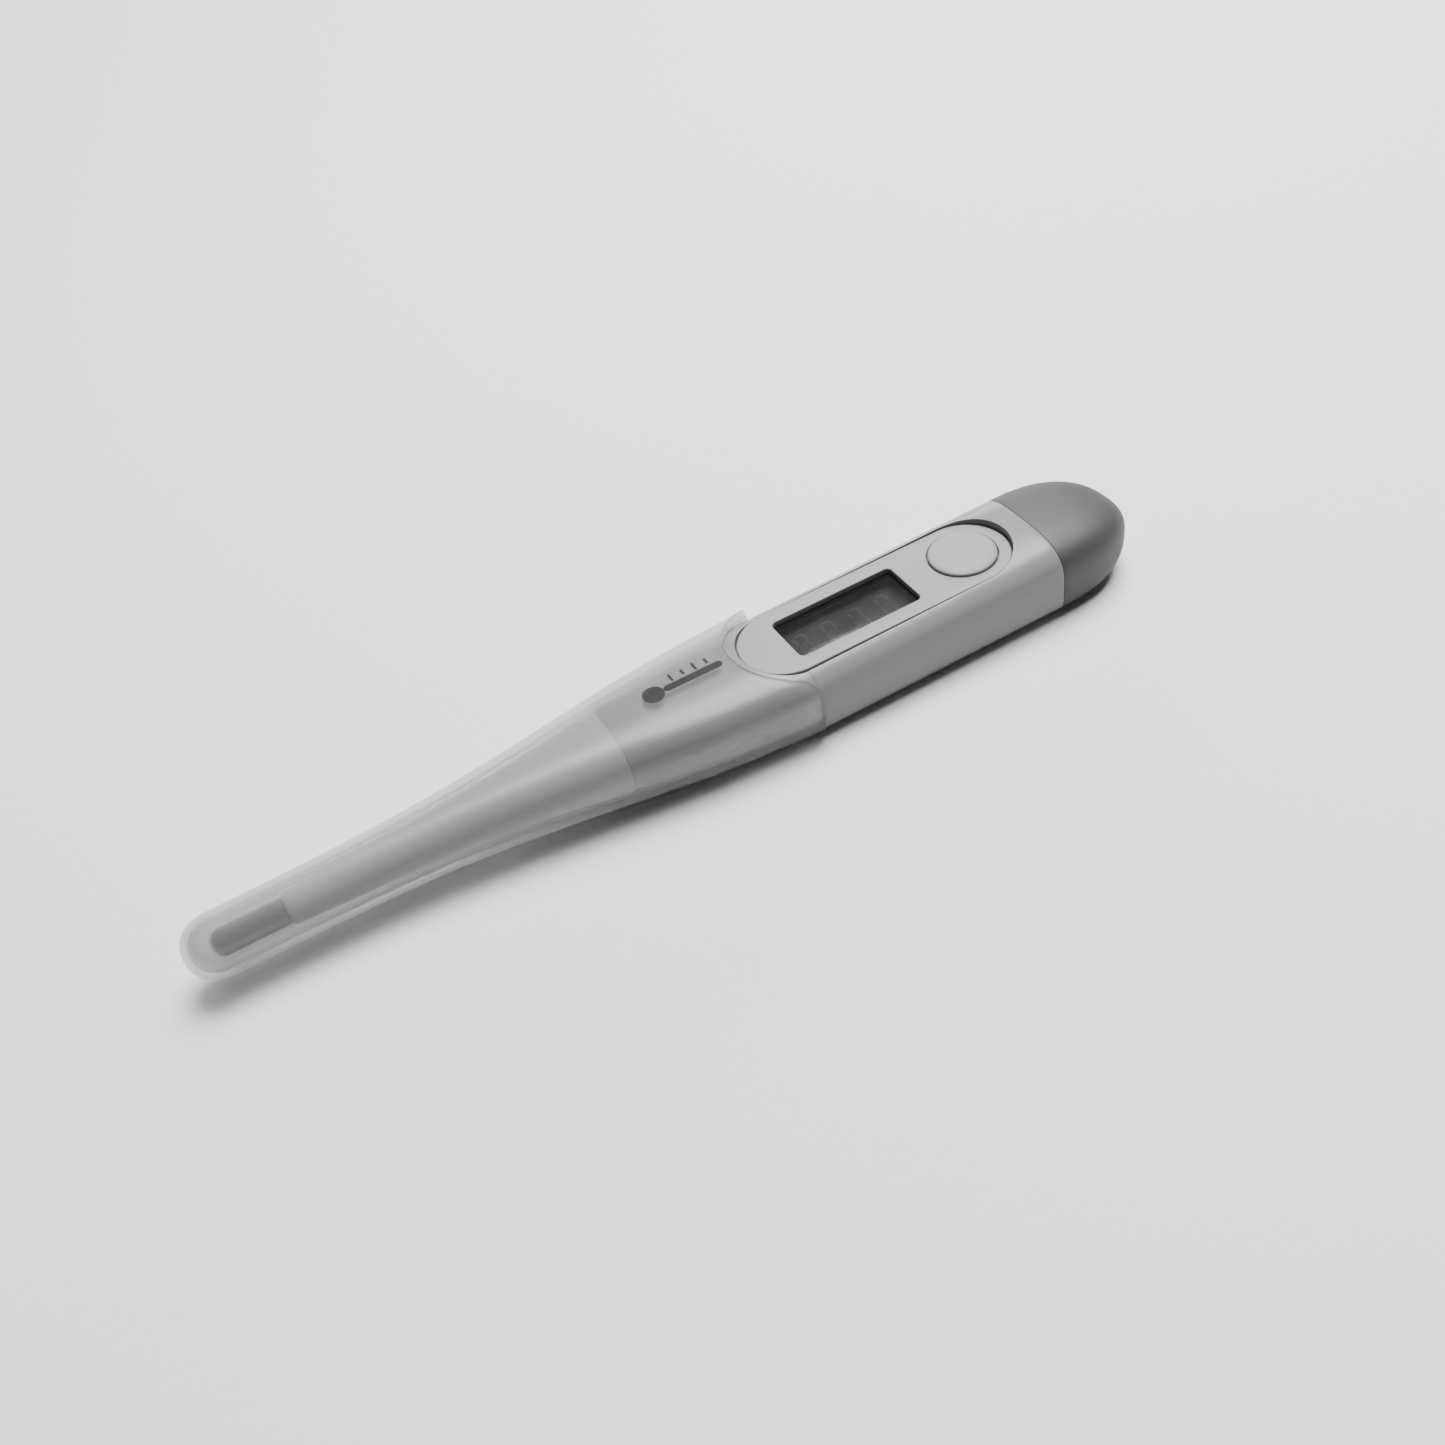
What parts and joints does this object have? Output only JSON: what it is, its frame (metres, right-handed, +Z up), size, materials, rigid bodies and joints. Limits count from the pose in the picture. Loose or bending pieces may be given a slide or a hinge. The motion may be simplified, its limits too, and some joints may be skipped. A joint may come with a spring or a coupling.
{
  "type": "digital thermometer",
  "caption": "Stick thermometer with a frosted slide-off cap over its metal sensing tip, a recessed display, a round push button and a pull-off battery cover.",
  "frame": {"origin": "under the middle of the capped thermometer, on the plane that its underside rests on", "axes": "+X from the sensing tip towards the battery cover, +Y across the body, +Z up out of the display"},
  "size_m": [0.1314, 0.0194, 0.0115],
  "materials": {
    "frosted_cap": "frosted translucent polypropylene, satin",
    "shell_white": "smooth moulded ABS",
    "probe_white": "smooth moulded ABS",
    "cover_grey": "fine satin moulding",
    "bezel_grey": "fine matte moulding",
    "button_grey": "soft matte elastomer",
    "lens_clear": "clear polished window",
    "lcd_glass": "grey liquid-crystal glass",
    "steel": "drawn stainless steel",
    "brass": "rolled sheet",
    "ceramic": "silvered ceramic disc",
    "board_green": "solder-masked laminate",
    "black": "black moulding and potting",
    "chip_tan": "sintered chip body",
    "carrier_white": "plain inner moulding",
    "seal_rubber": "soft seal",
    "lead_red": "lacquered wire"
  },
  "bodies": {
    "housing": {"housing": "shell_white", "probe_shaft": "probe_white", "tip_sheath": "steel", "tip_epoxy": "black", "thermistor_bead": "black", "sensor_lead_a": "lead_red", "sensor_lead_b": "lead_red", "display_bezel": "bezel_grey", "display_lens": "lens_clear"},
    "cap": {"protective_cap": "frosted_cap"},
    "button": {"power_button": "button_grey"},
    "carrier": {"carrier_frame": "carrier_white", "circuit_board": "board_green", "display_frame": "black", "zebra_connector": "seal_rubber", "lcd_rear_glass": "lcd_glass", "lcd_front_glass": "lcd_glass", "switch_base": "black", "switch_stem": "carrier_white", "controller_blob": "black", "chip_capacitor_1": "chip_tan", "chip_capacitor_2": "chip_tan", "chip_resistor_1": "black", "chip_resistor_2": "black", "buzzer_plate": "brass", "buzzer_ceramic": "ceramic", "battery_cell": "steel", "battery_contact_negative": "steel", "battery_contact_positive": "steel"},
    "cover": {"battery_cover": "cover_grey", "cover_seal": "seal_rubber"}
  },
  "joints": [
    {"name": "cap_slide", "type": "slide", "parent": "housing", "child": "cap", "axis": [-1, 0, 0], "range_m": [0, 0.085]},
    {"name": "button_press", "type": "slide", "parent": "housing", "child": "button", "axis": [0, 0, -1], "range_m": [0, 0.0004], "stiffness_N_per_m": 800, "springref_m": -0.001},
    {"name": "carrier_slide", "type": "slide", "parent": "housing", "child": "carrier", "axis": [1, 0, 0], "range_m": [0, 0.01], "deforming": ["sensor_lead_a", "sensor_lead_b"]},
    {"name": "cover_pull", "type": "slide", "parent": "carrier", "child": "cover", "axis": [1, 0, 0], "range_m": [0, 0.02]}
  ]
}
